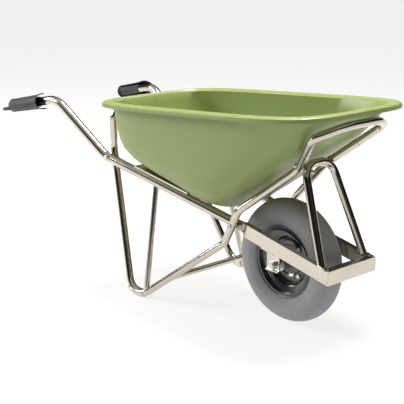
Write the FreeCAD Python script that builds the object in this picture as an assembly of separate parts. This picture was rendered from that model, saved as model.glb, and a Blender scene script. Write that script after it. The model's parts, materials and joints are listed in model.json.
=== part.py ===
import FreeCAD, Part
import math
import os

# Wheelbarrow: pressed tray on a bent-tube frame with one pneumatic wheel.
# Millimetres. +X forward (from the grips to the wheel), +Y to the user's left, +Z up.
# Control points are measured from the wheel's ground contact; the finished nodes are
# moved along X at the end so that the row origin is the bounding box's bottom centre.

# ---- wheel -------------------------------------------------------------------------
wheel_d = 400.0
tyre_w = 98.0
rim_flange_r = 115.0
rim_seat_r = 105.0
rim_half_w = 38.0
tyre_t = 7.0
rim_t = 2.0
axle_d = 17.0
bearing_od = 40.0
bearing_w = 12.0
hub_od = 50.0
hub_half = 52.0
rim_bolt_pcd = 124.0
rim_bolt_d = 8.0
rim_bolt_count = 4
running_clear = 0.05
side_clear = 0.35

# ---- tubes and bars ------------------------------------------------------------------
handle_d = 32.0
loop_d = 25.0
stay_d = 20.0
brace_d = 20.0
tip_d = 25.0
tube_wall = 1.8
bar_w = 20.0
bar_h = 43.0
bar_wall = 2.0
part_gap = 0.4
bolt_d = 8.0
bolt_clear = 0.25

# ---- overall layout --------------------------------------------------------------------
# Heights of the frame and tray hang from the wheel's top; lengths from the tray's ends.
axle_z = wheel_d / 2.0
wheel_top = wheel_d
tray_len = 1044.0
tray_w = 554.0
tray_front_x = 286.0
tray_rear_x = tray_front_x - tray_len
nose_gap = 52.0
nose_x = wheel_d / 2.0 + nose_gap
fork_half = tyre_w / 2.0 + 60.0
fork_toe = 0.003
fork_slope = 0.194
joint_x = -105.0
end_plate = 3.0
fork_top_z = wheel_top - 82.3
handle_front = (joint_x, tyre_w / 2.0 + 53.4, wheel_top - 97.6)
handle_slope = 0.231
knee_x = tray_rear_x + 36.0
knee_bend = 100.0
apex_x = tray_rear_x - 206.0
apex_rise = 173.0
apex_half = 223.6
handle_spread = (apex_half - handle_front[1]) / (joint_x - apex_x)
apex_bend = 95.0
grip_droop = 0.206
handle_end_x = tray_rear_x - 438.0

# ---- tray ---------------------------------------------------------------------------------
tray_mid_x = (tray_front_x + tray_rear_x) / 2.0
rim_mid_z = wheel_top + 277.0
rim_tilt = 0.070
rim_flange_end = 41.0
rear_flange_end = 58.0
rim_flange_side = 34.0
rim_lip = 14.0
rim_roll = 6.0
tray_t = 3.5
rail_t = 6.0
rail_seat = 0.1
rail_len = 237.0
rail_behind = 4.0
rail_in = 60.0
rail_out = 9.0
tray_bolt_in = 48.0
tray_bolt_ahead = (92.0, 207.0)

# ---- legs, loop and stays -----------------------------------------------------------------
foot_x = tray_rear_x + 255.0
foot_y = 246.0
foot_bend = 64.0
leg_x = tray_rear_x + 36.0
leg_rise = 23.073
leg_top = (leg_x, handle_front[2] + handle_slope * (joint_x - leg_x) + leg_rise)
leg_gap = 3.0
leg_bend = 48.0
rear_bar_past = 1.5
rear_bar_drop = 16.0
rear_bar_in = 119.0
rear_bar_bend = 42.0
strut_knee = (-156.0, wheel_top - 153.0)
strut_cross = (-106.0, wheel_top - 38.0)
strut_bend = 52.0
waist = (78.0, tyre_w / 2.0 + 11.0, wheel_top + 117.0)
waist_bend = 55.0
shoulder_behind = 52.5
shoulder_drop = 55.0
shoulder_in = 119.0
shoulder_bend = 30.0
front_bar_behind = 6.5
front_bar_drop = 24.0
front_bar_share = 0.456
front_bar_bend = 130.0
tip_foot = (212.0, fork_half - 14.0)
tip_top = (102.0, tyre_w / 2.0 + 9.0, wheel_top + 134.0)
tip_bend = 51.0
stay_top_x = foot_x + 24.0
stay_foot_x = foot_x + 53.0
brace_x = foot_x + 144.0
wear_t = 3.0
wear_flat = 0.8

# ---- grips ----------------------------------------------------------------------------------
grip_len = 150.0
grip_od = handle_d + 5.0
grip_gap = 0.05
guard_len = 158.0
guard_out = grip_od / 2.0 + 23.5
guard_high = grip_od / 2.0 + 8.5
guard_t = 3.0
peg_len = 44.0
peg_d = 12.0


def vec(x, y, z):
    return FreeCAD.Vector(x, y, z)


def mirror_y(shape):
    return shape.mirror(vec(0, 0, 0), vec(0, 1, 0))


def bent_wire(points, radii):
    """Polyline through points with each inner corner rounded to its radius."""
    pts = [vec(*p) for p in points]
    edges = []
    start = pts[0]
    for i in range(1, len(pts) - 1):
        before = (pts[i - 1] - pts[i]).normalize()
        after = (pts[i + 1] - pts[i]).normalize()
        opening = math.acos(max(-1.0, min(1.0, before.dot(after))))
        turn = math.pi - opening
        reach = radii[i - 1] * math.tan(turn / 2.0)
        a = pts[i] + before * reach
        b = pts[i] + after * reach
        centre_dir = (before + after).normalize()
        centre = pts[i] + centre_dir * (radii[i - 1] / math.cos(turn / 2.0))
        mid = centre - centre_dir * radii[i - 1]
        if (a - start).Length > 0.01:
            edges.append(Part.makeLine(start, a))
        edges.append(Part.Arc(a, mid, b).toShape())
        start = b
    edges.append(Part.makeLine(start, pts[-1]))
    return Part.Wire(edges)


def sweep(wire, radius):
    first = wire.Edges[0]
    at = first.valueAt(first.FirstParameter)
    along = first.tangentAt(first.FirstParameter)
    ring = Part.Wire([Part.makeCircle(radius, at, along)])
    return wire.makePipeShell([ring], True, False)


def bent_tube(points, radii, diameter, wall=None):
    wire = bent_wire(points, radii)
    outer = sweep(wire, diameter / 2.0)
    if wall is None:
        return outer
    return outer.cut(sweep(wire, diameter / 2.0 - wall))


def rod(a, b, radius):
    along = b - a
    return Part.makeCylinder(radius, along.Length, a, along)


def tube(a, b, radius, wall):
    return rod(a, b, radius).cut(rod(a, b, radius - wall))


def hex_prism(centre, axis, across, height):
    """Hexagonal nut or head standing on centre along axis."""
    r = across / math.sqrt(3.0)
    corners = [vec(r * math.cos(math.radians(60 * k)), r * math.sin(math.radians(60 * k)), 0)
               for k in range(7)]
    solid = Part.Face(Part.makePolygon(corners)).extrude(vec(0, 0, height))
    turn = FreeCAD.Rotation(vec(0, 0, 1), axis)
    solid.Placement = FreeCAD.Placement(centre, turn)
    return solid


def revolve_y(profile, y_sign=1.0):
    """Turn a closed (radius, y) outline about the wheel axis at the origin."""
    pts = [vec(r, y * y_sign, 0) for r, y in profile]
    face = Part.Face(Part.makePolygon(pts + [pts[0]]))
    return face.revolve(vec(0, 0, 0), vec(0, 1, 0), 360)


def handle_z(x):
    return handle_front[2] + handle_slope * (joint_x - x)


def handle_y(x):
    return handle_front[1] + handle_spread * (joint_x - x)


def rim_z(x):
    return rim_mid_z + rim_tilt * (x - tray_mid_x)


def fork_top(x):
    return fork_top_z - fork_slope * (x - joint_x)


def fork_outer(x):
    return fork_half - fork_toe * (nose_x - x)


nodes = {}
handle_r = handle_d / 2.0
loop_r = loop_d / 2.0

# ---- handle tubes ---------------------------------------------------------------------------
knee = (knee_x, handle_y(knee_x), handle_z(knee_x))
apex = (apex_x, handle_y(apex_x), handle_z(knee_x) + apex_rise)
handle_end = (handle_end_x, handle_y(handle_end_x), apex[2] + grip_droop * (handle_end_x - apex_x))


def handle_path(start_x):
    return [(start_x, handle_y(start_x), handle_z(start_x)), knee, apex, handle_end]


# The front end runs into the fork bar's end plate and is closed by a plug.
handle_solid = bent_tube(handle_path(joint_x + 8.0), [knee_bend, apex_bend], handle_d)
handle_bore = bent_tube(handle_path(joint_x - 6.0), [knee_bend, apex_bend], handle_d - 2.0 * tube_wall)
handle_tube = handle_solid.cut(handle_bore)
ahead = Part.makeBox(80, 400, 400, vec(joint_x, -50, handle_front[2] - 200))
handle_tube = handle_tube.cut(ahead)

# ---- fork: two side bars and a nose bar, mitred at the front corners ---------------------------


def fork_slab(inset):
    half = bar_h / math.cos(math.atan(fork_slope))
    xs = (joint_x - 40.0, nose_x + 40.0)
    pts = [(xs[0], fork_top(xs[0]) - inset), (xs[1], fork_top(xs[1]) - inset),
           (xs[1], fork_top(xs[1]) - half + inset), (xs[0], fork_top(xs[0]) - half + inset)]
    ring = [vec(x, -300, z) for x, z in pts]
    return Part.Face(Part.makePolygon(ring + [ring[0]])).extrude(vec(0, 600, 0))


def plan_prism(pts):
    ring = [vec(x, y, 0) for x, y in pts]
    return Part.Face(Part.makePolygon(ring + [ring[0]])).extrude(vec(0, 0, 900))


def side_bar_plan(a, b, run):
    """Plan outline between offsets a and b inside the outer faces, run past the rear end."""
    rear = joint_x - run
    return [(rear, fork_outer(rear) - a), (nose_x - a, fork_outer(nose_x - a) - a),
            (nose_x - b, fork_outer(nose_x - b) - b), (rear, fork_outer(rear) - b)]


def nose_bar_plan(a, b):
    return [(nose_x - a, fork_outer(nose_x - a) - a), (nose_x - b, fork_outer(nose_x - b) - b),
            (nose_x - b, b - fork_outer(nose_x - b)), (nose_x - a, a - fork_outer(nose_x - a))]


bar_outer = plan_prism(side_bar_plan(0.0, bar_w, 0.0)).common(fork_slab(0.0))
bar_inner = plan_prism(side_bar_plan(bar_wall, bar_w - bar_wall, -end_plate)).common(fork_slab(bar_wall))
side_bar = bar_outer.cut(bar_inner)
nose_outer = plan_prism(nose_bar_plan(0.0, bar_w)).common(fork_slab(0.0))
nose_inner = plan_prism(nose_bar_plan(bar_wall, bar_w - bar_wall)).common(fork_slab(bar_wall))
nose_bar = nose_outer.cut(nose_inner)

# ---- axle brackets -------------------------------------------------------------------------------
bracket_y = tyre_w / 2.0 + 23.0
bracket_t = 5.0
bracket_rear = -29.0
bracket_front = 25.0
bracket_low = axle_z - 21.0
under = bar_h / math.cos(math.atan(fork_slope))


def bracket_profile(x0, x1, drop0, drop1):
    pts = [(x0, fork_top(x0) - under - drop0), (x1, fork_top(x1) - under - drop0),
           (x1, drop1 if drop1 is not None else fork_top(x1) - under - bracket_t),
           (x0, drop1 if drop1 is not None else fork_top(x0) - under - bracket_t)]
    return pts


def xz_prism(pts, y0, y1):
    ring = [vec(x, y0, z) for x, z in pts]
    return Part.Face(Part.makePolygon(ring + [ring[0]])).extrude(vec(0, y1 - y0, 0))


bracket = xz_prism(bracket_profile(bracket_rear, bracket_front, 0.0, bracket_low),
                   bracket_y, bracket_y + bracket_t)
bracket = bracket.fuse(xz_prism(bracket_profile(bracket_rear, bracket_front, 0.0, None),
                                bracket_y, fork_outer(bracket_rear) - 1.0))
bracket = bracket.fuse(Part.makeBox(bracket_front - bracket_rear, 12.0, bracket_t,
                                    vec(bracket_rear, bracket_y, bracket_low)))
bracket = bracket.cut(rod(vec(0, 0, axle_z), vec(0, 150, axle_z), axle_d / 2.0 + running_clear))
bracket = bracket.removeSplitter()

# ---- side loop: rear hoop end, leg, foot, strut, waist, shoulder -----------------------------------


def on_line(a, b, t):
    return (a[0] + (b[0] - a[0]) * t, a[1] + (b[1] - a[1]) * t, a[2] + (b[2] - a[2]) * t)


def seated_foot(path):
    """Lower the foot vertex until the bend stands on the wear plate."""
    for _ in range(4):
        low = bent_tube(path[1:4], [foot_bend], loop_d).BoundBox.ZMin
        foot = path[2]
        path[2] = (foot[0], foot[1], foot[2] + (wear_t - wear_flat - low) * 1.05)
    return path[2]


# The leg passes just inboard of the handle tube, and the strut just outboard of it.
leg_bend_pt = (leg_top[0], handle_y(leg_top[0]) - (handle_r + loop_r + 14.0), leg_top[1])
rear_pt = (tray_rear_x + rear_flange_end + rear_bar_past - loop_r, tray_w / 2.0 - rear_bar_in,
           rim_z(tray_rear_x) - rear_bar_drop - loop_r)
shoulder = (tray_front_x - shoulder_behind - loop_r, tray_w / 2.0 - shoulder_in,
            rim_z(tray_front_x) - shoulder_drop - loop_r)
front_bar = (tray_front_x - front_bar_behind - loop_r, shoulder[1] * front_bar_share,
             rim_z(tray_front_x) - front_bar_drop - loop_r)
foot_pt = seated_foot([rear_pt, leg_bend_pt, (foot_x, foot_y, -20.0),
                       (strut_knee[0], handle_y(strut_knee[0]) + 34.0, strut_knee[1])])
for _ in range(12):
    leg_only = rod(vec(*foot_pt), vec(*leg_bend_pt), loop_r)
    free = leg_only.distToShape(handle_solid)[0]
    leg_bend_pt = (leg_bend_pt[0], leg_bend_pt[1] + (free - leg_gap), leg_bend_pt[2])
out_y = handle_r + loop_r + 14.0
for _ in range(4):
    knee_pt = (strut_knee[0], handle_y(strut_knee[0]) + out_y + 4.0, strut_knee[1])
    cross_pt = (strut_cross[0], handle_y(strut_cross[0]) + out_y, strut_cross[1])
    strut_only = bent_tube([foot_pt, knee_pt, cross_pt, waist], [strut_bend, strut_bend], loop_d)
    free = strut_only.distToShape(handle_solid)[0]
    out_y = out_y - (free - part_gap)
knee_pt = (strut_knee[0], handle_y(strut_knee[0]) + out_y + 4.0, strut_knee[1])
cross_pt = (strut_cross[0], handle_y(strut_cross[0]) + out_y, strut_cross[1])


def mirror_pt(p):
    return (p[0], -p[1], p[2])


# ---- tipping bar over the wheel --------------------------------------------------------------------
tip_dir = ((tip_top[0] - tip_foot[0]), (tip_top[1] - tip_foot[1]),
           (tip_top[2] - fork_top(tip_foot[0])))
tip_base = (tip_foot[0] - tip_dir[0] * 0.1, tip_foot[1] - tip_dir[1] * 0.1,
            fork_top(tip_foot[0]) - tip_dir[2] * 0.1)
tip_path = [mirror_pt(tip_base), mirror_pt(tip_top), tip_top, tip_base]
tip_bar = bent_tube(tip_path, [tip_bend, tip_bend], tip_d, tube_wall)
below_bar = xz_prism([(nose_x - 200, fork_top(nose_x - 200)), (nose_x + 80, fork_top(nose_x + 80)),
                      (nose_x + 80, 0.0), (nose_x - 200, 0.0)], -200, 200)
tip_bar = tip_bar.cut(below_bar)
tip_solid = bent_tube(tip_path, [tip_bend, tip_bend], tip_d)

# The loop's waist is brought forward until it meets the tipping bar.
waist_pt = (waist[0] - 25.0, waist[1], waist[2])
for _ in range(5):
    waist_only = bent_tube([cross_pt, waist_pt, shoulder], [waist_bend], loop_d)
    free = waist_only.distToShape(tip_solid)[0]
    waist_pt = (waist_pt[0] + (free - part_gap) * 0.95, waist_pt[1], waist_pt[2])
split_rear = on_line(leg_bend_pt, rear_pt, 0.62)
split_front = on_line(waist_pt, shoulder, 0.55)
loop_path = [split_rear, leg_bend_pt, foot_pt, knee_pt, cross_pt, waist_pt, split_front]
loop_bends = [leg_bend, foot_bend, strut_bend, strut_bend, waist_bend]
foot_pt = seated_foot(loop_path)
loop_solid = bent_tube(loop_path, loop_bends, loop_d)
side_loop = bent_tube(loop_path, loop_bends, loop_d, tube_wall)

# ---- hoops that close the loop behind and in front of the tray ---------------------------------------
rear_path = [mirror_pt(split_rear), mirror_pt(rear_pt), rear_pt, split_rear]
rear_hoop = bent_tube(rear_path, [rear_bar_bend, rear_bar_bend], loop_d, tube_wall)
front_path = [mirror_pt(split_front), mirror_pt(shoulder), mirror_pt(front_bar), front_bar,
              shoulder, split_front]
front_hoop = bent_tube(front_path, [shoulder_bend, front_bar_bend, front_bar_bend, shoulder_bend],
                       loop_d, tube_wall)

# ---- stays, brace, wear plates -----------------------------------------------------------------------
stay_a = vec(stay_top_x, handle_y(stay_top_x), handle_z(stay_top_x))
foot_t = (stay_foot_x - foot_pt[0]) / (knee_pt[0] - foot_pt[0])
stay_aim = on_line(foot_pt, knee_pt, foot_t)
stay_b = vec(stay_aim[0], stay_aim[1] - 2.0, stay_aim[2] + 10.0)
stay = tube(stay_a, stay_b, stay_d / 2.0, tube_wall).cut(handle_solid).cut(loop_solid)
stay = max(stay.Solids, key=lambda s: s.Volume)
brace_t = (brace_x - foot_pt[0]) / (knee_pt[0] - foot_pt[0])
brace_at = on_line(foot_pt, knee_pt, brace_t)
brace = tube(vec(brace_at[0], -brace_at[1], brace_at[2]), vec(brace_at[0], brace_at[1], brace_at[2]),
             brace_d / 2.0, tube_wall)
brace = brace.cut(loop_solid).cut(mirror_y(loop_solid))
brace = max(brace.Solids, key=lambda s: s.Volume)
wear = bent_tube(loop_path[1:4], [foot_bend], loop_d + 2.0 * wear_t)
wear = wear.cut(bent_tube(loop_path[1:4], [foot_bend], loop_d))
wear = wear.common(Part.makeBox(92, 120, 24, vec(foot_x - 44, foot_y - 70, 0)))
wear = max(wear.Solids, key=lambda s: s.Volume)

# ---- tray --------------------------------------------------------------------------------------------
half_len = tray_len / 2.0
half_w = tray_w / 2.0
floor_rise = handle_r * math.sqrt(1.0 + handle_slope ** 2) + rail_t


def floor_z(x):
    return handle_z(x) + floor_rise


# Each station of the wall: front reach, front height, rear reach, rear height, half width
# and squareness. Reaches and widths are shares of the top ones, heights run from floor to rim.
wall_shape = (
    (0.096, 0.000, 0.715, 0.000, 0.556, 3.6),
    (0.114, 0.018, 0.730, 0.036, 0.617, 3.8),
    (0.175, 0.087, 0.780, 0.113, 0.741, 4.0),
    (0.256, 0.173, 0.842, 0.218, 0.856, 4.2),
    (0.368, 0.287, 0.898, 0.343, 0.930, 4.4),
    (0.501, 0.416, 0.931, 0.468, 0.959, 4.5),
    (0.645, 0.559, 0.956, 0.597, 0.975, 4.6),
    (0.784, 0.702, 0.973, 0.727, 0.988, 4.6),
    (0.902, 0.851, 0.988, 0.861, 0.996, 4.6),
    (1.000, 1.000, 1.000, 1.000, 1.000, 4.6),
)
reach = half_len - rim_flange_end
back = half_len - rear_flange_end
wide = half_w - rim_flange_side
floor_front = tray_mid_x + reach * wall_shape[0][0]
floor_rear = tray_mid_x - back * wall_shape[0][2]
low_front = floor_z(floor_front)
low_rear = floor_z(floor_rear)
high_front = rim_z(tray_mid_x + half_len) - 8.0
high_rear = rim_z(tray_mid_x - half_len) - 3.5
stations = []
for fx, fz, rx, rz, w, sq in wall_shape:
    stations.append((tray_mid_x + reach * fx, low_front + (high_front - low_front) * fz,
                     tray_mid_x - back * rx, low_rear + (high_rear - low_rear) * rz,
                     wide * w, sq))
top = stations[-1]
ring_count = 48


def ring_points(station, grow, raise_z):
    fx, fz, rx, rz, w, sq = station
    mid = (fx + rx) / 2.0
    half = (fx - rx) / 2.0 + grow
    wide = w + grow
    out = []
    for k in range(ring_count):
        a = 2.0 * math.pi * k / ring_count
        c = math.cos(a)
        s = math.sin(a)
        x = math.copysign(abs(c) ** (2.0 / sq), c) * half
        y = math.copysign(abs(s) ** (2.0 / sq), s) * wide
        z = (fz + rz) / 2.0 + (fz - rz) / (fx - rx) * x
        out.append(vec(mid + x, y, z + raise_z))
    return out


def ring_wire(station, grow, raise_z):
    curve = Part.BSplineCurve()
    curve.interpolate(Points=ring_points(station, grow, raise_z), PeriodicFlag=True)
    return Part.Wire([curve.toShape()])


rings = []
floor_lift = tray_t
rings.append(ring_wire(stations[0], -8.0, floor_lift))
rings.append(ring_wire(stations[0], -1.0, floor_lift))
rings.append(ring_wire(stations[1], -1.4, floor_lift * 0.9))
rings.append(ring_wire(stations[2], -2.0, floor_lift * 0.6))
for st in stations[3:]:
    rings.append(ring_wire(st, -tray_t, 0.0))
flange = rim_flange_side - rim_roll
rings.append(ring_wire(top, 0.5, 5.5))
rings.append(ring_wire(top, 5.0, 9.0))
rings.append(ring_wire(top, flange * 0.55, 9.0))
rings.append(ring_wire(top, flange, 7.5))
rings.append(ring_wire(top, flange + 4.5, 4.5))
rings.append(ring_wire(top, flange + rim_roll, -0.5))
rings.append(ring_wire(top, flange + rim_roll, 9.0 - rim_lip - 3.0))
rings.append(ring_wire(top, flange + 3.0, 9.0 - rim_lip - 3.0))
rings.append(ring_wire(top, flange + 3.0, -1.0))
rings.append(ring_wire(top, flange, 3.5))
rings.append(ring_wire(top, 8.0, 5.5))
rings.append(ring_wire(top, 3.5, 3.5))
rings.append(ring_wire(top, 0.0, -1.0))
for st in reversed(stations[2:-1]):
    rings.append(ring_wire(st, 0.0, 0.0))
rings.append(ring_wire(stations[1], 0.0, 0.0))
rings.append(ring_wire(stations[0], 0.0, 0.0))
rings.append(ring_wire(stations[0], -8.0, 0.0))
tray = Part.makeLoft(rings, True, True)

# ---- rails and tray bolts ------------------------------------------------------------------------------
rail_rear_x = floor_rear - rail_behind
rail_front_x = rail_rear_x + rail_len
rail_ring = []
for x, side in ((rail_front_x, -rail_in), (rail_rear_x, -rail_in),
                (rail_rear_x, rail_out), (rail_front_x, rail_out)):
    rail_ring.append(vec(x, handle_y(x) + side, floor_z(x) - rail_seat))
rail = Part.Face(Part.makePolygon(rail_ring + [rail_ring[0]])).extrude(vec(0, 0, rail_seat - rail_t))
rail = rail.cut(handle_solid)
rail = max(rail.Solids, key=lambda s: s.Volume)
up = vec(handle_slope, 0, 1).normalize()
bolts = []
for ahead in tray_bolt_ahead:
    x = rail_rear_x + ahead
    foot = vec(x, handle_y(x) - tray_bolt_in, floor_z(x))
    head = Part.makeCylinder(8.5, 2.2, foot + up * tray_t, up)
    head = head.fuse(Part.makeCone(8.5, 4.5, 2.0, foot + up * (tray_t + 2.2), up))
    shank = rod(foot + up * tray_t, foot - up * (rail_t + 12.0), bolt_d / 2.0)
    bolts.append((head.fuse(shank).removeSplitter(), foot))
for k, (bolt, foot) in enumerate(bolts):
    hole = rod(foot + up * 20.0, foot - up * 30.0, bolt_d / 2.0 + bolt_clear)
    rail = rail.cut(hole)
    tray = tray.cut(hole).cut(mirror_y(hole))
    seat = foot - up * rail_t
    nut = hex_prism(seat, up * -1.0, 13.0, 6.5).cut(rod(foot, foot - up * 70.0, bolt_d / 2.0))
    nodes["tray_bolt_left_%d" % (k + 1)] = bolt
    nodes["tray_bolt_right_%d" % (k + 1)] = mirror_y(bolt)
    nodes["tray_nut_left_%d" % (k + 1)] = nut
    nodes["tray_nut_right_%d" % (k + 1)] = mirror_y(nut)

# ---- bolts that tie the loop to the handle tubes and to the tipping bar ---------------------------------


def tie(name, a_solid, a_d, b_solid, b_d):
    """Bolt, nut and any spacer where tube a comes closest to tube b; returns the bolt hole."""
    gap, points, _ = a_solid.distToShape(b_solid)
    pa, pb = points[0]
    n = (pb - pa).normalize()
    head_at = pa - n * (a_d - 0.8)
    nut_at = pb + n * (b_d - 0.8)
    head = Part.makeCylinder(7.5, 5.5, head_at, n * -1.0).cut(a_solid)
    head = max(head.Solids, key=lambda s: s.Volume)
    head = head.cut(Part.makeCylinder(3.2, 3.0, head_at - n * 3.0, n * -1.0))
    end = pb + n * (b_d + 9.0)
    bolt = head.fuse(rod(head_at - n * 1.5, end, bolt_d / 2.0)).removeSplitter()
    nut = rod(nut_at, nut_at + n * 3.0, 7.5).fuse(hex_prism(nut_at + n * 2.5, n, 13.0, 6.0))
    nut = nut.cut(b_solid).cut(rod(pa, end + n, bolt_d / 2.0))
    nut = max(nut.Solids, key=lambda s: s.Volume)
    bolt = bolt.fuse(nut).removeSplitter()
    nodes[name + "_bolt_left"] = bolt
    nodes[name + "_bolt_right"] = mirror_y(bolt)
    if gap > 1.0:
        ring = rod(pa - n * 3.0, pb + n * 3.0, 7.5).cut(a_solid).cut(b_solid)
        ring = max(ring.Solids, key=lambda s: s.Volume).cut(rod(pa - n * 5.0, pb + n * 5.0, bolt_d / 2.0 + 0.1))
        nodes[name + "_spacer_left"] = ring
        nodes[name + "_spacer_right"] = mirror_y(ring)
    return rod(head_at - n * 20.0, end + n * 20.0, bolt_d / 2.0 + bolt_clear)


leg_only = rod(vec(*foot_pt), vec(*leg_bend_pt), loop_r)
leg_hole = tie("leg_tie", leg_only, loop_d, handle_solid, handle_d)
strut_only = bent_tube([foot_pt, knee_pt, cross_pt, waist_pt], [strut_bend, strut_bend], loop_d)
strut_hole = tie("strut_tie", strut_only, loop_d, handle_solid, handle_d)
waist_only = bent_tube([cross_pt, waist_pt, shoulder], [waist_bend], loop_d)
waist_hole = tie("waist_tie", waist_only, loop_d, tip_solid, tip_d)
side_loop = side_loop.cut(leg_hole).cut(strut_hole).cut(waist_hole)
handle_tube = handle_tube.cut(leg_hole).cut(strut_hole)
tip_bar = tip_bar.cut(waist_hole).cut(mirror_y(waist_hole))

# ---- wheel ------------------------------------------------------------------------------------------------
tyre_r = wheel_d / 2.0
mid_r = (tyre_r + rim_seat_r) / 2.0
half_t = tyre_w / 2.0
bead = rim_half_w - rim_t
tyre_half = [(rim_seat_r, bead - 0.4), (rim_flange_r - 2.0, bead - 0.8), (rim_flange_r + 3.5, bead + 0.8),
             (rim_flange_r + 12.0, bead + 6.5),
             (mid_r - 16.0, half_t - 2.0), (mid_r - 4.0, half_t), (mid_r + 12.0, half_t - 2.0),
             (mid_r + 26.0, half_t - 9.0), (tyre_r - 9.0, half_t - 20.0), (tyre_r - 3.0, half_t - 32.0),
             (tyre_r, 0.0)]
inner_half = [(tyre_r - tyre_t - 3.0, 0.0), (tyre_r - tyre_t - 4.0, half_t - 33.0),
              (tyre_r - tyre_t - 9.0, half_t - 24.0), (mid_r + 22.0, half_t - tyre_t - 9.0),
              (mid_r + 10.0, half_t - tyre_t - 2.0), (mid_r - 4.0, half_t - tyre_t),
              (mid_r - 15.0, half_t - tyre_t - 3.0), (rim_flange_r + 2.0, bead - 6.0),
              (rim_seat_r, bead - 10.0)]


def smooth_ring(half_out, half_in):
    """Solid of revolution with spline flanks between the two bead edges."""
    out_pts = [vec(r, y, 0) for r, y in half_out[1:]] + \
              [vec(r, -y, 0) for r, y in reversed(half_out[1:-1])]
    in_pts = [vec(r, -y, 0) for r, y in reversed(half_in[1:])] + [vec(r, y, 0) for r, y in half_in]
    outer = Part.BSplineCurve()
    outer.interpolate(Points=out_pts)
    inner = Part.BSplineCurve()
    inner.interpolate(Points=in_pts)
    r0, y0 = half_out[0]
    edges = [outer.toShape(),
             Part.makeLine(out_pts[-1], vec(r0, -y0, 0)),
             Part.makeLine(vec(r0, -y0, 0), in_pts[0]),
             inner.toShape(),
             Part.makeLine(in_pts[-1], vec(r0, y0, 0)),
             Part.makeLine(vec(r0, y0, 0), out_pts[0])]
    face = Part.Face(Part.Wire(edges))
    return face.revolve(vec(0, 0, 0), vec(0, 1, 0), 360)


tyre = smooth_ring(tyre_half, inner_half)
hub_r = hub_od / 2.0
rim_profile = [
    (rim_flange_r, rim_half_w + 1.0), (rim_flange_r - 2.0, rim_half_w - rim_t),
    (rim_seat_r, rim_half_w - rim_t), (rim_seat_r, 21.0), (86.0, 16.0), (86.0, 2.2),
    (80.0, 2.2), (80.0, 0.0), (hub_r, 0.0), (hub_r, rim_t),
    (46.0, rim_t), (53.0, 7.0), (71.0, 7.0), (78.0, rim_t + 0.4),
    (83.8, rim_t + 2.4), (83.8, 17.2), (rim_seat_r - rim_t, 22.6), (rim_seat_r - rim_t, rim_half_w),
    (rim_flange_r - 3.4, rim_half_w), (rim_flange_r - 2.0, rim_half_w + 1.0),
]
rim_half = revolve_y(rim_profile)
rim_dish = revolve_y([(46.0, 0.0), (53.0, 5.0), (71.0, 5.0), (78.0, 0.0)])
rim_half = rim_half.cut(rim_dish)
hub_bore = bearing_od / 2.0
hub = revolve_y([(hub_bore, hub_half), (hub_r, hub_half), (hub_r, -hub_half), (hub_bore, -hub_half),
                 (hub_bore, bearing_w - hub_half), (hub_bore - 2.5, bearing_w - hub_half),
                 (hub_bore - 2.5, hub_half - bearing_w), (hub_bore, hub_half - bearing_w)])
bearing = revolve_y([(axle_d / 2.0 + running_clear, hub_half - bearing_w), (hub_bore, hub_half - bearing_w),
                     (hub_bore, hub_half), (hub_bore - 3.5, hub_half), (hub_bore - 3.8, hub_half - 1.2),
                     (axle_d / 2.0 + 3.8, hub_half - 1.2), (axle_d / 2.0 + 3.4, hub_half),
                     (axle_d / 2.0 + running_clear, hub_half)])
bolt_ring_r = rim_bolt_pcd / 2.0
rim_bolts = []
for k in range(rim_bolt_count):
    a = math.radians(45.0 + 360.0 / rim_bolt_count * k)
    at = vec(bolt_ring_r * math.cos(a), 0, bolt_ring_r * math.sin(a))
    hole = rod(at + vec(0, 12, 0), at + vec(0, -12, 0), rim_bolt_d / 2.0 + bolt_clear)
    rim_half = rim_half.cut(hole)
    head = hex_prism(at + vec(0, -7.0, 0), vec(0, -1, 0), 13.0, 5.0)
    shank = rod(at + vec(0, -7.0, 0), at + vec(0, 15.0, 0), rim_bolt_d / 2.0)
    nut = hex_prism(at + vec(0, 7.0, 0), vec(0, 1, 0), 13.0, 6.5)
    rim_bolts.append(head.fuse(shank).fuse(nut).removeSplitter())
to_axle = vec(0, 0, axle_z)


def at_axle(shape):
    return shape.translated(to_axle)


# ---- axle, spacers and nuts -----------------------------------------------------------------------------
axle_half = bracket_y + bracket_t + 14.0
axle = rod(vec(0, -axle_half, axle_z), vec(0, axle_half, axle_z), axle_d / 2.0)
spacer = rod(vec(0, hub_half + side_clear, axle_z), vec(0, bracket_y, axle_z), axle_d / 2.0 + 3.0)
spacer = spacer.cut(rod(vec(0, 0, axle_z), vec(0, 150, axle_z), axle_d / 2.0))
nut_at = vec(0, bracket_y + bracket_t + 2.0, axle_z)
washer = Part.makeCylinder(axle_d / 2.0 + 7.0, 2.0, vec(0, bracket_y + bracket_t, axle_z), vec(0, 1, 0))
washer = washer.cut(rod(vec(0, 0, axle_z), vec(0, 150, axle_z), axle_d / 2.0))
axle_nut = hex_prism(nut_at, vec(0, 1, 0), 24.0, 9.0)
axle_nut = axle_nut.cut(rod(vec(0, 0, axle_z), vec(0, 150, axle_z), axle_d / 2.0))

# ---- grips and hand guards ---------------------------------------------------------------------------------
grip_axis = (vec(*handle_end) - vec(*apex)).normalize()
grip_rear = vec(*handle_end)
grip_front = grip_rear - grip_axis * (grip_len - 8.0)
grip_r = grip_od / 2.0
grip = rod(grip_front, grip_rear + grip_axis * 6.0, grip_r)
for k in range(7):
    at = grip_front + grip_axis * (22.0 + 15.0 * k)
    groove = rod(at, at + grip_axis * 4.0, grip_r + 2.0).cut(rod(at, at + grip_axis * 4.0, grip_r - 1.0))
    grip = grip.cut(groove)
grip = grip.fuse(rod(grip_rear - grip_axis * 4.0, grip_rear + grip_axis * 6.0, grip_r + 1.2))
grip = grip.cut(rod(grip_front - grip_axis * 1.0, grip_rear + grip_axis * 0.2, handle_r + grip_gap))
grip = max(grip.Solids, key=lambda s: s.Volume)
side_dir = vec(0, 0, 1).cross(grip_axis).normalize() * -1.0
if side_dir.y < 0:
    side_dir = side_dir * -1.0
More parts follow.
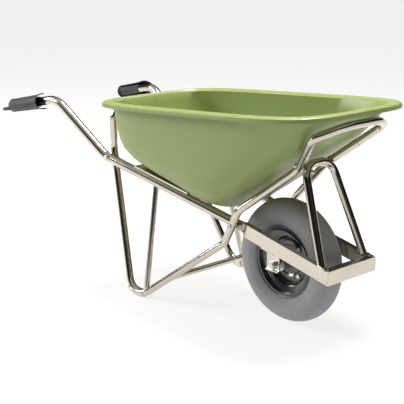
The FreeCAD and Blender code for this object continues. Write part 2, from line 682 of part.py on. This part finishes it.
up_dir = grip_axis.cross(side_dir).normalize()
if up_dir.z < 0:
    up_dir = up_dir * -1.0


def guard_section(s, out_r, high, thick):
    """C-shaped section around the outboard side of the grip."""
    centre = grip_rear - grip_axis * s
    outer_pts = []
    inner_pts = []
    for k in range(13):
        a = math.radians(-100.0 + 200.0 * k / 12.0)
        outer_pts.append(centre + side_dir * (out_r * math.cos(a)) + up_dir * (high * math.sin(a)))
        inner_pts.append(centre + side_dir * ((out_r - thick) * math.cos(a))
                         + up_dir * ((high - thick) * math.sin(a)))
    a_curve = Part.BSplineCurve()
    a_curve.interpolate(Points=outer_pts)
    b_curve = Part.BSplineCurve()
    b_curve.interpolate(Points=inner_pts)
    return Part.Wire([a_curve.toShape(), Part.makeLine(outer_pts[-1], inner_pts[-1]),
                      b_curve.toShape(), Part.makeLine(inner_pts[0], outer_pts[0])])


guard = Part.makeLoft([
    guard_section(guard_len + 8.0, guard_out + 2.0, guard_high + 3.0, guard_t),
    guard_section(guard_len - 18.0, guard_out - 2.0, guard_high, guard_t),
    guard_section(guard_len * 0.55, guard_out, guard_high - 1.0, guard_t),
    guard_section(guard_len * 0.22, guard_out - 4.0, guard_high - 1.5, guard_t),
    guard_section(-8.0, guard_out - 13.0, guard_high - 3.0, guard_t)], True, True)
cap_at = grip_rear + grip_axis * 6.0
cap = rod(cap_at, cap_at + grip_axis * 4.0, guard_high - 1.6)
guard = guard.fuse(cap)
peg_at = cap_at + grip_axis * 2.6 + side_dir * 8.0 - up_dir * 8.0
guard = guard.fuse(Part.makeCone(peg_d / 2.0 + 2.5, peg_d / 2.0, peg_len,
                                 peg_at, grip_axis + side_dir * 0.25))
guard = guard.removeSplitter()

# ---- collect the nodes, each side pair from one shape ---------------------------------------------------------


def pair(name, left_shape):
    nodes[name + "_left"] = left_shape
    nodes[name + "_right"] = mirror_y(left_shape)


nodes["tray"] = tray
pair("handle_tube", handle_tube)
pair("fork_bar", side_bar)
nodes["nose_bar"] = nose_bar
pair("axle_bracket", bracket)
pair("side_loop", side_loop)
nodes["rear_hoop"] = rear_hoop
nodes["front_hoop"] = front_hoop
nodes["tipping_bar"] = tip_bar
pair("leg_stay", stay)
nodes["leg_brace"] = brace
pair("foot_plate", wear)
pair("tray_rail", rail)
pair("grip", grip)
pair("hand_guard", guard)
nodes["axle"] = axle
pair("axle_spacer", spacer)
pair("axle_washer", washer)
pair("axle_nut", axle_nut)
nodes["tyre"] = at_axle(tyre)
pair("rim_half", at_axle(rim_half))
nodes["hub"] = at_axle(hub)
pair("bearing", at_axle(bearing))
for k, bolt in enumerate(rim_bolts):
    nodes["rim_bolt_%d" % (k + 1)] = at_axle(bolt)

# ---- move the row to its origin and write the files ---------------------------------------------------------------
# The ends come from meshed points, because a spline's own box runs wide of its surface.
mesh_x = [p.x for shape in nodes.values() for p in shape.tessellate(0.3)[0]]
x_low = min(mesh_x)
x_high = max(mesh_x)
shift = -round((x_low + x_high) / 2.0, 1)
os.makedirs("parts", exist_ok=True)
for name, shape in nodes.items():
    placed = shape.translated(vec(shift, 0, 0))
    placed.exportStep("parts/%s.step" % name)
print("nodes", len(nodes), "shift_x_mm", shift, "x", x_low, x_high)
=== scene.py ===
"""Finished look of a garden wheelbarrow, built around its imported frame."""
import json
import math

import bmesh
import bpy
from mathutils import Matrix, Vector, noise
from mathutils.bvhtree import BVHTree


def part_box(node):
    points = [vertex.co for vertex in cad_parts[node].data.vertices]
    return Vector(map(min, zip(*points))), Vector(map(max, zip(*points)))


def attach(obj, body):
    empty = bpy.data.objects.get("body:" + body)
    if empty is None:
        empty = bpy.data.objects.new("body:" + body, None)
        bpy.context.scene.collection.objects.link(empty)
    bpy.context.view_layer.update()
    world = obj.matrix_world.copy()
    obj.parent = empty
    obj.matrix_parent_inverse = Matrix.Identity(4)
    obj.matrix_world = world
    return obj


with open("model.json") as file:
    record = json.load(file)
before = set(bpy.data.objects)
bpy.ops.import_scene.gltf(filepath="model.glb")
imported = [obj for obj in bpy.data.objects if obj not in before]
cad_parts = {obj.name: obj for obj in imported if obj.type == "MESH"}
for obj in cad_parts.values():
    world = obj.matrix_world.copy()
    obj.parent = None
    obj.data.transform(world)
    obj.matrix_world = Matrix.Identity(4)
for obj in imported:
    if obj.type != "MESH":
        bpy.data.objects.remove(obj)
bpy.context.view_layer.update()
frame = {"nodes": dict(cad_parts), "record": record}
nodes = frame["nodes"]
scene = bpy.context.scene


# ---- shader tools --------------------------------------------------------------------------
class Value:
    """A number that varies over a surface; arithmetic on it adds Math nodes."""

    def __init__(self, finish, socket):
        self.finish = finish
        self.socket = socket

    def calc(self, operation, *terms):
        return self.finish.node("ShaderNodeMath", {"operation": operation}, dict(enumerate(terms)))

    def __add__(self, other):
        return self.calc("ADD", self, other)

    __radd__ = __add__

    def __mul__(self, other):
        return self.calc("MULTIPLY", self, other)

    __rmul__ = __mul__

    def above(self, low, high):
        """0 below low, 1 above high, smooth between."""
        settings = {"interpolation_type": "SMOOTHSTEP"}
        return self.finish.node("ShaderNodeMapRange", settings, {0: self, 1: low, 2: high})


class Finish:
    """One procedural material: a Principled surface and what feeds it."""

    def __init__(self, name, surface=None):
        self.material = bpy.data.materials.new(name)
        self.material.use_nodes = True
        self.tree = self.material.node_tree
        self.shader = self.tree.nodes["Principled BSDF"]
        for socket, value in (surface or {}).items():
            self.shader.inputs[socket].default_value = value
        self.place = self.node("ShaderNodeTexCoord", output="Object")

    def node(self, kind, settings=None, inputs=None, output=0):
        """Adds a node: its settings first, then its sockets' values or links."""
        made = self.tree.nodes.new(kind)
        for label, value in (settings or {}).items():
            setattr(made, label, value)
        for socket, value in (inputs or {}).items():
            if isinstance(value, Value):
                self.tree.links.new(value.socket, made.inputs[socket])
            else:
                made.inputs[socket].default_value = value
        return Value(self, made.outputs[output])

    def noise(self, scale, detail=3.0, rough=0.55, stretch=(1.0, 1.0, 1.0)):
        """Cloudy noise from 0 to 1 in the object's own metres."""
        spot = self.node("ShaderNodeMapping", None, {"Vector": self.place, "Scale": stretch})
        inputs = {"Vector": spot, "Scale": scale, "Detail": detail, "Roughness": rough}
        return self.node("ShaderNodeTexNoise", None, inputs)

    def cells(self, scale):
        return self.node("ShaderNodeTexVoronoi", None, {"Vector": self.place, "Scale": scale})

    def mix(self, share, low, high):
        """Colour low where share is 0, colour high where it is 1."""
        settings = {"data_type": "RGBA", "blend_type": "MIX"}
        return self.node("ShaderNodeMix", settings, {0: share, 6: low, 7: high}, 2)

    def feed(self, socket, value):
        self.tree.links.new(value.socket, self.shader.inputs[socket])

    def bump(self, height, strength, depth):
        inputs = {"Height": height, "Strength": strength, "Distance": depth}
        self.feed("Normal", self.node("ShaderNodeBump", None, inputs))


def colour(red, green, blue):
    return (red, green, blue, 1.0)


# ---- finishes --------------------------------------------------------------------------------
def tray_green():
    """Pistachio moulded plastic: fine grain, faint clouding, thin chalky scuffs."""
    f = Finish("tray_green", {"Specular IOR Level": 0.5})
    cloud = f.noise(3.0, 4.0)
    dust = f.noise(38.0, 5.0, 0.65)
    scuff = f.noise(90.0, 2.0, 0.5, (0.12, 1.0, 1.0)).above(0.63, 0.74)
    green = f.mix(cloud, colour(0.212, 0.270, 0.082), colour(0.236, 0.294, 0.096))
    green = f.mix((dust.above(0.52, 0.75) * 0.10), green, colour(0.32, 0.34, 0.22))
    f.feed("Base Color", f.mix(scuff * 0.10, green, colour(0.38, 0.44, 0.24)))
    f.feed("Roughness", 0.36 + dust * 0.10 + scuff * 0.12)
    f.bump(f.noise(420.0, 2.0, 0.5), 0.12, 0.0006)
    return f.material


def bright_steel():
    """Polished plated tube: fine drawn lines, cloudy polish and small stains."""
    f = Finish("bright_steel", {"Metallic": 1.0})
    drawn = f.noise(260.0, 3.0, 0.6, (0.08, 1.0, 0.35))
    cloud = f.noise(9.0, 4.0)
    stain = f.noise(55.0, 5.0, 0.7).above(0.60, 0.80)
    warm = f.mix(cloud, colour(0.52, 0.47, 0.40), colour(0.62, 0.57, 0.495))
    f.feed("Base Color", f.mix(stain * 0.25, warm, colour(0.50, 0.44, 0.36)))
    f.feed("Roughness", 0.10 + cloud * 0.07 + stain * 0.16 + drawn * 0.05)
    f.bump(f.noise(1200.0, 2.0), 0.04, 0.0001)
    return f.material


def weld_steel():
    """Heat-tinted weld beads."""
    f = Finish("weld_steel", {"Metallic": 1.0})
    tint = f.noise(140.0, 3.0)
    f.feed("Base Color", f.mix(tint, colour(0.50, 0.44, 0.36), colour(0.72, 0.67, 0.58)))
    f.feed("Roughness", 0.26 + tint * 0.16)
    f.bump(f.noise(900.0, 2.0), 0.3, 0.0003)
    return f.material


def zinc_steel():
    """Zinc plating with its faint spangle."""
    f = Finish("zinc_steel", {"Metallic": 1.0})
    spangle = f.cells(190.0)
    cloud = f.noise(30.0, 4.0)
    f.feed("Base Color", f.mix(cloud, colour(0.56, 0.55, 0.52), colour(0.70, 0.69, 0.66)))
    f.feed("Roughness", 0.24 + spangle * 0.18 + cloud * 0.08)
    f.bump(f.noise(700.0, 2.0), 0.15, 0.0002)
    return f.material


def grip_plastic():
    """Charcoal moulded plastic with a fine spark-eroded grain."""
    f = Finish("grip_plastic", {"Specular IOR Level": 0.42})
    grain = f.cells(1500.0)
    cloud = f.noise(26.0, 4.0)
    f.feed("Base Color", f.mix(cloud, colour(0.020, 0.021, 0.023), colour(0.036, 0.037, 0.040)))
    f.feed("Roughness", 0.46 + cloud * 0.16)
    f.bump(grain, 0.30, 0.0004)
    return f.material


def tyre_rubber():
    """Grey rubber, cloudy in tone, with patches of light dust."""
    f = Finish("tyre_rubber", {"Specular IOR Level": 0.35})
    cloud = f.noise(14.0, 5.0, 0.6)
    dust = f.noise(70.0, 5.0, 0.7).above(0.48, 0.72)
    grey = f.mix(cloud, colour(0.275, 0.269, 0.275), colour(0.320, 0.314, 0.318))
    f.feed("Base Color", f.mix(dust * 0.22, grey, colour(0.38, 0.37, 0.36)))
    f.feed("Roughness", 0.62 + dust * 0.16 + cloud * 0.06)
    f.bump(f.noise(520.0, 3.0, 0.6), 0.25, 0.0005)
    return f.material


def rim_black():
    """Gloss black stove enamel with a trace of dust."""
    f = Finish("rim_black", {"Coat Weight": 1.0, "Coat Roughness": 0.06})
    dust = f.noise(60.0, 5.0, 0.65).above(0.50, 0.80)
    f.feed("Base Color", f.mix(dust * 0.35, colour(0.014, 0.013, 0.012), colour(0.085, 0.078, 0.068)))
    f.feed("Roughness", 0.22 + dust * 0.22)
    f.bump(f.noise(300.0, 2.0), 0.08, 0.0004)
    return f.material


def floor_paper():
    """Seamless pale studio paper."""
    f = Finish("floor_paper")
    f.feed("Base Color", f.mix(f.noise(2.0), colour(0.24, 0.24, 0.24), colour(0.26, 0.26, 0.26)))
    f.feed("Roughness", 0.85 + f.noise(30.0) * 0.1)
    f.shader.inputs["Emission Color"].default_value = colour(1.0, 1.0, 0.99)
    f.shader.inputs["Emission Strength"].default_value = 0.78
    return f.material


finishes = {
    "tray_plastic": tray_green(),
    "bright_tube": bright_steel(),
    "grip_plastic": grip_plastic(),
    "tyre_rubber": tyre_rubber(),
    "rim_black": rim_black(),
    "zinc_steel": zinc_steel(),
}
weld_finish = weld_steel()
slot_of = {part["node"]: part["material_slot"] for part in frame["record"]["subparts"]}


def dress_frame_parts():
    """Smooth shading and the slot's finish for every part that shows as it is."""
    for name, part in nodes.items():
        part.data.materials.clear()
        part.data.materials.append(finishes[slot_of[name]])
        for face in part.data.polygons:
            face.use_smooth = True
        weld = part.modifiers.new("join_corners", "WELD")
        weld.merge_threshold = 0.00001
        crease = part.modifiers.new("keep_creases", "EDGE_SPLIT")
        crease.split_angle = math.radians(34.0)


dress_frame_parts()


# ---- shared mesh work ------------------------------------------------------------------------
def surface_of(name):
    """A ray-castable copy of one frame part's surface."""
    mesh = nodes[name].data
    return BVHTree.FromPolygons([v.co for v in mesh.vertices], [p.vertices for p in mesh.polygons])


def centre_of(name):
    low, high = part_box(name)
    return (low + high) / 2


def add_piece(name, mesh, slot, material=None, body="frame"):
    piece = bpy.data.objects.new(name, mesh)
    scene.collection.objects.link(piece)
    mesh.materials.append(material or finishes[slot])
    for face in mesh.polygons:
        face.use_smooth = True
    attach(piece, body)
    return piece


def grid_mesh(name, rings, closed_ring=True, closed_ends=False, close_loop=False):
    """Skins rows of points; close_loop joins the last row to the first."""
    mesh = bmesh.new()
    rows = [[mesh.verts.new(p) for p in ring] for ring in rings]
    count = len(rows[0])
    last = count if closed_ring else count - 1
    for i in range(len(rows) if close_loop else len(rows) - 1):
        a, b = rows[i], rows[(i + 1) % len(rows)]
        for k in range(last):
            mesh.faces.new((a[k], a[(k + 1) % count], b[(k + 1) % count], b[k]))
    if closed_ends:
        mesh.faces.new(list(reversed(rows[0])))
        mesh.faces.new(rows[-1])
    bmesh.ops.recalc_face_normals(mesh, faces=mesh.faces)
    made = bpy.data.meshes.new(name)
    mesh.to_mesh(made)
    mesh.free()
    return made


def ring_about(centre, axis, radius, count=24, start=0.0):
    side = axis.orthogonal().normalized()
    up = axis.cross(side).normalized()
    turns = [start + 2 * math.pi * k / count for k in range(count)]
    return [centre + side * (radius * math.cos(a)) + up * (radius * math.sin(a)) for a in turns]


bead_flatness = 0.8


def bead_mesh(name, path, normals, radius, ripple=0.16, ripples=22, sides=8):
    """A rippled weld bead along a closed path, flattened towards the metal it lies on."""
    rings = []
    count = len(path)
    for i, point in enumerate(path):
        ahead = (path[(i + 1) % count] - path[i - 1]).normalized()
        up = normals[i].normalized()
        side = ahead.cross(up).normalized()
        wave = 1 + ripple * math.sin(2 * math.pi * ripples * i / count)
        wave += 0.10 * noise.noise(point * 160)
        ring = []
        for k in range(sides):
            a = 2 * math.pi * k / sides
            ring.append(point + side * (radius * wave * math.cos(a))
                        + up * (radius * bead_flatness * wave * math.sin(a)))
        rings.append(ring)
    return grid_mesh(name, rings, close_loop=True)


def weld_round(name, inside, towards, tube_radius, onto, bead=0.0022, count=132):
    """Weld where a round tube, seen from inside it, lands on another part's surface."""
    surface = surface_of(onto)
    axis = towards.normalized()
    path, normals = [], []
    for start in ring_about(inside, axis, tube_radius, count):
        hit, normal, _, _ = surface.ray_cast(start, axis, 0.08)
        if hit is None:
            hit, normal, _, _ = surface.find_nearest(start + axis * 0.02)
        path.append(hit)
        normals.append(normal - axis * 0.6)
    mesh = bead_mesh(name, path, normals, bead, ripples=max(10, int(tube_radius * 1600)))
    return add_piece(name, mesh, "bright_tube", weld_finish)


# ---- where the frame's parts end ---------------------------------------------------------------
SIDES = (("left", 1), ("right", -1))


def points_of(name, keep=None):
    every = [v.co.copy() for v in nodes[name].data.vertices]
    return [p for p in every if keep is None or keep(p)]


def mean(points):
    return sum(points, Vector()) / len(points)


def run_ends(points):
    """Centres of the two far ends of a straight run of tube, lowest first."""
    middle = (min(p.z for p in points) + max(p.z for p in points)) / 2
    return mean([p for p in points if p.z < middle]), mean([p for p in points if p.z >= middle])


def open_end(name, sign):
    """Centre and outward direction of a hoop's lower end on one side."""
    own_side = points_of(name, lambda p: p.y * sign > 0)
    tip = min(own_side, key=lambda p: p.z)
    end_ring = [p for p in own_side if (p - tip).length < 0.0262]
    centre = mean(end_ring)
    arms = [p - centre for p in end_ring]
    normal = max((a.cross(b) for a in arms for b in arms[::3]), key=lambda n: n.length)
    return centre, normal.normalized()


# ---- welds -------------------------------------------------------------------------------------
def brace_welds():
    centre = centre_of("leg_brace")
    low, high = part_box("leg_brace")
    radius = (high.z - low.z) / 2
    for side, sign in SIDES:
        inside = Vector((centre.x, sign * (high.y - 0.03), centre.z))
        weld_round(f"brace_weld_{side}", inside, Vector((0, sign, 0)), radius, f"side_loop_{side}")


def stay_welds():
    stay_radius = 0.010
    set_in = 0.04
    for side, _ in SIDES:
        foot, head = run_ends(points_of(f"leg_stay_{side}"))
        up = (head - foot).normalized()
        weld_round(f"stay_head_weld_{side}", head - up * set_in, up, stay_radius,
                   f"handle_tube_{side}")
        weld_round(f"stay_foot_weld_{side}", foot + up * set_in, -up, stay_radius,
                   f"side_loop_{side}")


def tipping_bar_welds():
    tip_radius = 0.0125
    low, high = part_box("tipping_bar")
    reach = low.z + (high.z - low.z) * 0.6
    for side, sign in SIDES:
        foot, bend = run_ends(points_of("tipping_bar", lambda p: p.y * sign > 0 and p.z < reach))
        down = (foot - bend).normalized()
        weld_round(f"tipping_weld_{side}", foot - down * 0.03, down, tip_radius,
                   f"fork_bar_{side}", 0.0026)


def hoop_welds():
    loop_radius = 0.0125
    for hoop in ("rear_hoop", "front_hoop"):
        for side, sign in SIDES:
            centre, axis = open_end(hoop, sign)
            path = ring_about(centre, axis, loop_radius, 120)
            mesh = bead_mesh(f"{hoop}_weld_{side}", path, [p - centre for p in path],
                             0.0015, ripples=26)
            add_piece(f"{hoop}_weld_{side}", mesh, "bright_tube", weld_finish)


def handle_welds():
    """Bead round each handle tube where it meets the fork bar's end plate."""
    for side, _ in SIDES:
        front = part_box(f"handle_tube_{side}")[1].x
        rim = points_of(f"handle_tube_{side}", lambda p: p.x > front - 0.0006)
        centre = mean(rim)
        radius = max((p - centre).length for p in rim)
        path = ring_about(centre, Vector((1, 0, 0)), radius - 0.0004, 132)
        mesh = bead_mesh(f"handle_weld_{side}", path, [p - centre for p in path], 0.0022, ripples=28)
        add_piece(f"handle_weld_{side}", mesh, "bright_tube", weld_finish)


def line_bead(name, a, b, up, radius, ripples):
    """A straight weld bead with tapered ends."""
    along = (b - a).normalized()
    side = along.cross(up).normalized()
    count = 60
    rings = []
    for i in range(count + 1):
        share = i / count
        taper = min(1.0, 6 * share + 0.15, 6 * (1 - share) + 0.15)
        size = radius * taper * (1 + 0.15 * math.sin(2 * math.pi * ripples * share))
        middle = a.lerp(b, share)
        turns = [2 * math.pi * k / 8 for k in range(8)]
        rings.append([middle + side * (size * math.cos(t))
                      + up * (size * bead_flatness * math.sin(t)) for t in turns])
    return add_piece(name, grid_mesh(name, rings, closed_ends=True), "bright_tube", weld_finish)


def nose_welds():
    """Mitre seams at the fork's two front corners: top, front edge and underside."""
    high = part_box("nose_bar")[1]
    bead = 0.0016
    near = 0.001
    mitre_back, mitre_in, mitre_rise = 0.0195, 0.0197, 0.0038
    for side, sign in SIDES:
        tip = points_of("nose_bar", lambda p: p.x > high.x - near and p.y * sign > high.y - near)
        top, under = max(tip, key=lambda p: p.z), min(tip, key=lambda p: p.z)
        back = Vector((-mitre_back, -sign * mitre_in, mitre_rise))
        out = Vector((1, sign, 0)).normalized()
        sunk = out * 0.0010
        line_bead(f"nose_top_weld_{side}", top + back, top, Vector((0, 0, 1)), bead, 8)
        line_bead(f"nose_front_weld_{side}", top - sunk, under - sunk, out, bead, 12)
        line_bead(f"nose_under_weld_{side}", under + back, under, Vector((0, 0, -1)), bead, 8)


def bracket_welds():
    for side, sign in SIDES:
        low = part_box(f"axle_bracket_{side}")[0]
        half_way = abs(centre_of(f"axle_bracket_{side}").y)
        edge = points_of(f"axle_bracket_{side}",
                         lambda p: p.z > low.z + 0.05 and abs(p.y) > half_way)
        front = max(edge, key=lambda p: (round(p.x, 4), p.z))
        rear = min(edge, key=lambda p: (round(p.x, 4), -p.z))
        out = Vector((0, sign, -1)).normalized()
        line_bead(f"bracket_weld_{side}", rear, front, out, 0.0020, 16)


# ---- wheel details -------------------------------------------------------------------------------
wheel_centre = centre_of("tyre")
wheel_axis = Vector((0, 1, 0))


def wheel_ring(name, radius, offset, section, slot, count=144):
    """A closed ring about the axle, its section's two radii given as (radial, axial)."""
    rings = []
    for i in range(count):
        a = 2 * math.pi * i / count
        out = Vector((math.cos(a), 0, math.sin(a)))
        ring = []
        for k in range(10):
            t = 2 * math.pi * k / 10
            ring.append(wheel_centre + out * (radius + section[0] * math.cos(t))
                        + wheel_axis * (offset + section[1] * math.sin(t)))
        rings.append(ring)
    return add_piece(name, grid_mesh(name, rings, close_loop=True), slot, body="wheel")


def tyre_details():
    """Moulding lines and bead ridges that stand proud of the tyre's flanks."""
    flank = surface_of("tyre")
    for side, sign in SIDES:
        for label, radius, depth in (("bead_ridge", 0.1235, 0.0009), ("flank_line", 0.1385, 0.0006),
                                     ("shoulder_line", 0.1840, 0.0006)):
            start = wheel_centre + Vector((radius, sign * 0.08, 0))
            hit = flank.ray_cast(start, Vector((0, -sign, 0)))[0]
            wheel_ring(f"{label}_{side}", radius, hit.y, (depth * 1.6, depth), "tyre_rubber")


def valve_stem():
    """Brass-cored rubber valve, leaning out of the rim's dish, with a plain cap."""
    lean = Vector((-0.30, -0.95, 0.12)).normalized()
    foot = wheel_centre + Vector((-0.0790, -0.0165, 0.0340))
    profile = ((0.0, 0.0062), (0.004, 0.0058), (0.006, 0.0044), (0.020, 0.0038),
               (0.021, 0.0026), (0.023, 0.0026), (0.0232, 0.0041), (0.0325, 0.0041),
               (0.0345, 0.0032), (0.0350, 0.0010))
    rings = [ring_about(foot + lean * along, lean, radius, 20) for along, radius in profile]
    add_piece("valve_stem", grid_mesh("valve_stem", rings, closed_ends=True), "tyre_rubber",
              finishes["grip_plastic"], "wheel")


def rim_flange_lips():
    """Rolled outer edges of the two rim halves."""
    for side, sign in SIDES:
        low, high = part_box(f"rim_half_{side}")
        wheel_ring(f"rim_lip_{side}", (high.z - low.z) / 2 - 0.0018, sign * 0.0388,
                   (0.0016, 0.0014), "rim_black")


# ---- grip and guard details -----------------------------------------------------------------------
grip_spread = 0.1412
grip_droop = 0.206
rib_angles = (-48, -16, 16, 48)
rib_half = 0.060
rib_step = 0.005
rib_size = 0.0013


def guard_rib(name, line, axis, ray):
    """One rib with tapered ends along a line of points on the guard."""
    across = axis.cross(ray).normalized()
    turns = [2 * math.pi * k / 8 for k in range(8)]
    rings = []
    for i, point in enumerate(line):
        share = i / (len(line) - 1)
        size = rib_size * min(1.0, 5 * share + 0.1, 5 * (1 - share) + 0.1)
        rings.append([point + across * (size * 1.5 * math.cos(t)) + ray * (size * math.sin(t))
                      for t in turns])
    add_piece(name, grid_mesh(name, rings, closed_ends=True), "grip_plastic")


def guard_details():
    """Raised ribs along each hand guard, pressed onto its own curved surface."""
    for side, sign in SIDES:
        shell = surface_of(f"hand_guard_{side}")
        low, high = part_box(f"grip_{side}")
        centre = (low + high) / 2
        run = high.x - low.x
        axis = Vector((run, -sign * grip_spread * run, grip_droop * run)).normalized()
        out = axis.cross(Vector((0, 0, 1))).normalized()
        out = out * sign if out.y > 0 else -out * sign
        up = axis.cross(out).normalized()
        up = up if up.z > 0 else -up
        for number, angle in enumerate(rib_angles):
            turn = math.radians(angle)
            ray = (out * math.cos(turn) + up * math.sin(turn)).normalized()
            line = []
            for step in range(25):
                start = centre + axis * (-rib_half + rib_step * step) + ray * 0.09
                hit = shell.ray_cast(start, -ray)[0]
                if hit is not None:
                    line.append(hit)
            guard_rib(f"guard_rib_{side}_{number + 1}", line, axis, ray)


for build in (brace_welds, stay_welds, tipping_bar_welds, hoop_welds, handle_welds, nose_welds,
              bracket_welds, tyre_details, valve_stem, rim_flange_lips, guard_details):
    build()


# ---- studio ----------------------------------------------------------------------------------
def studio_floor():
    far = 60
    mesh = bpy.data.meshes.new("studio_floor")
    mesh.from_pydata([(-far, -far, 0), (far, -far, 0), (far, far, 0), (-far, far, 0)], [],
                     [(0, 1, 2, 3)])
    floor = bpy.data.objects.new("studio_floor", mesh)
    floor.data.materials.append(floor_paper())
    scene.collection.objects.link(floor)


def area_light(name, place, aim, size, power, tint=(1.0, 1.0, 1.0)):
    lamp = bpy.data.lights.new(name, "AREA")
    lamp.shape = "RECTANGLE"
    lamp.size, lamp.size_y = size
    lamp.energy = power
    lamp.color = tint
    holder = bpy.data.objects.new(name, lamp)
    holder.location = place
    holder.rotation_euler = (Vector(aim) - Vector(place)).to_track_quat("-Z", "Y").to_euler()
    scene.collection.objects.link(holder)


def studio_light():
    # name, place, what it faces, its two sides, watts, tint
    area_light("key_softbox", (-2.9, -2.3, 2.1), (-0.1, 0, 0.45), (2.2, 1.5), 128)
    area_light("fill_softbox", (3.4, -0.4, 1.3), (0.3, 0, 0.4), (0.8, 1.8), 0.3)
    area_light("top_softbox", (0.2, 0.5, 3.2), (0, 0, 0.3), (1.8, 1.0), 165, (1.0, 0.99, 0.97))
    world = bpy.data.worlds.new("studio_dome")
    scene.world = world
    world.use_nodes = True
    tree = world.node_tree
    dome = tree.nodes["Background"]
    direction = tree.nodes.new("ShaderNodeTexCoord")
    split = tree.nodes.new("ShaderNodeSeparateXYZ")
    ramp = tree.nodes.new("ShaderNodeValToRGB")
    tree.links.new(direction.outputs["Generated"], split.inputs[0])
    tree.links.new(split.outputs["Z"], ramp.inputs[0])
    ramp.color_ramp.elements[0].position = 0.0
    ramp.color_ramp.elements[0].color = (0.95, 0.95, 0.95, 1)
    ramp.color_ramp.elements[1].position = 1.0
    ramp.color_ramp.elements[1].color = (1, 1, 1, 1)
    for position, grey in ((0.03, 0.50), (0.07, 0.012), (0.52, 0.012), (0.68, 0.70)):
        stop = ramp.color_ramp.elements.new(position)
        stop.color = (grey, grey * 0.985, grey * 0.96, 1)
    tree.links.new(ramp.outputs[0], dome.inputs[0])
    dome.inputs[1].default_value = 0.60


def studio_camera():
    """The standing viewer's place, off the front right, looking back and down."""
    lens = bpy.data.cameras.new("viewer")
    lens.sensor_width = 36.0
    lens.lens = 87.55
    viewer = bpy.data.objects.new("viewer", lens)
    viewer.location = (2.5088, -2.1717, 1.2027)
    looks_down, heading = 15.38, 48.45
    viewer.rotation_euler = (math.radians(90.0 - looks_down), 0.0, math.radians(heading))
    scene.collection.objects.link(viewer)
    scene.camera = viewer


studio_floor()
studio_light()
studio_camera()
scene.view_settings.view_transform = "Standard"
